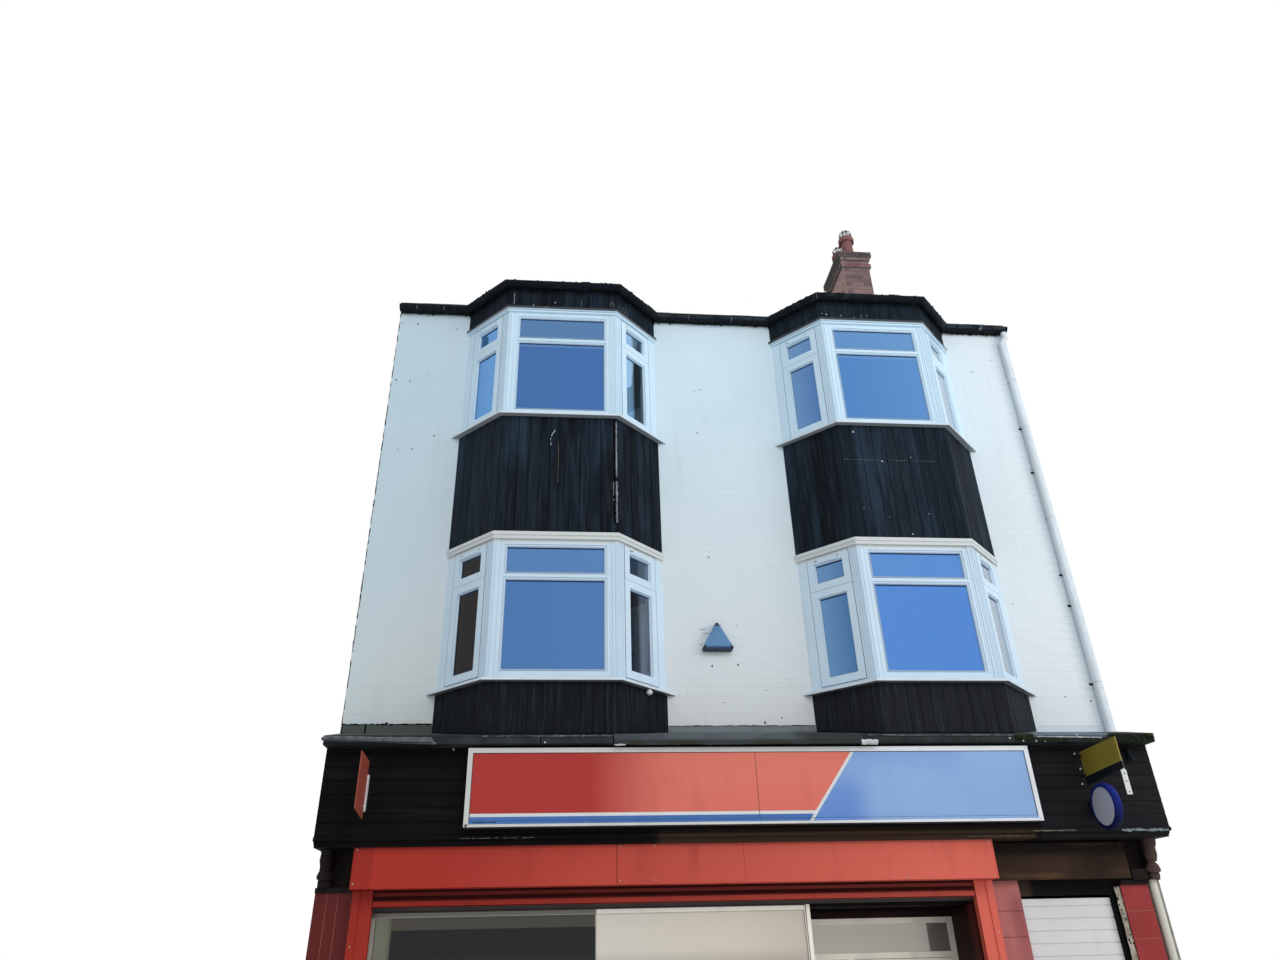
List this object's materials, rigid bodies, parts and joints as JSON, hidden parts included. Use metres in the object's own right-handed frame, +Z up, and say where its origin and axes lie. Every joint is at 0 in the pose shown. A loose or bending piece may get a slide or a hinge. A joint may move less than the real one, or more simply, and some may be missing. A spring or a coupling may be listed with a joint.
{
  "type": "corner shop building",
  "caption": "Hollow three-storey shop in a row: painted brick front with two canted bays, shopfront with sign box, shutters and glazed entrance, slated roof and chimney.",
  "frame": {"origin": "on the ground, at the middle of the front, in the plane of the front wall's face", "axes": "+X to the right along the front as seen from the street, +Y back from the street into the building, +Z up"},
  "size_m": [7.66, 9.113, 14.1295],
  "materials": {
    "alarm_blue": "satin",
    "black_board": "weathered paint",
    "black_fascia": "weathered paint",
    "black_gutter": "satin",
    "chimney_brick": "sooty brickwork",
    "concrete": "rough",
    "console_paint": "worn paint",
    "dark_lining": "painted",
    "deck_timber": "plain",
    "floor_timber": "boarded",
    "lead": "dull lead",
    "party_brick": "rough brickwork",
    "plaster": "matt plasterboard",
    "pot_clay": "matt",
    "red_steel": "satin",
    "red_tile": "glazed",
    "ridge_clay": "matt",
    "shop_aluminium": "satin",
    "shop_glass": "clear",
    "sign_face": "printed",
    "sign_frame": "satin",
    "sign_plastic": "satin",
    "slate": "riven",
    "stained_board": "stained",
    "steel_beam": "boxed in",
    "white_brick": "painted brickwork",
    "white_frame": "gloss",
    "white_pipe": "satin",
    "white_sill": "weathered gloss",
    "white_slats": "powder coated",
    "window_glass": "clear"
  },
  "bodies": {
    "root": {"ground_floor": "concrete", "left_party_wall": "party_brick", "right_party_wall": "party_brick", "rear_wall": "white_brick", "front_wall": "white_brick", "shopfront_beam": "steel_beam", "first_floor": "floor_timber", "second_floor": "floor_timber", "top_ceiling": "plaster", "front_roof": "slate", "rear_roof": "slate", "ridge_tiles": "ridge_clay", "chimney_stack": "chimney_brick", "chimney_pots": "pot_clay", "gutters": "black_gutter", "downpipes": "white_pipe", "bay_cladding": "black_board", "bay_decks": "deck_timber", "bay_sills": "white_sill", "bay_window_frames": "white_frame", "bay_posts": "white_frame", "bay_sashes": "white_frame", "bay_glass": "window_glass", "fascia_boards": "black_fascia", "fascia_capping": "lead", "fascia_soffit": "black_fascia", "sign_box": "sign_frame", "sign_panels": "sign_face", "shutter_box": "red_steel", "shutter_guides": "red_steel", "shop_window_frame": "shop_aluminium", "shop_glass": "shop_glass", "stall_riser": "red_tile", "entrance_lining": "dark_lining", "entrance_frame": "shop_aluminium", "shop_door": "shop_aluminium", "pilasters": "red_tile", "consoles": "console_paint", "side_shutter": "white_slats", "side_surround": "black_fascia", "side_lintel_board": "stained_board", "projecting_signs": "sign_plastic", "alarm_box": "alarm_blue", "rear_joinery": "white_frame", "rear_glass": "window_glass"}
  },
  "joints": []
}
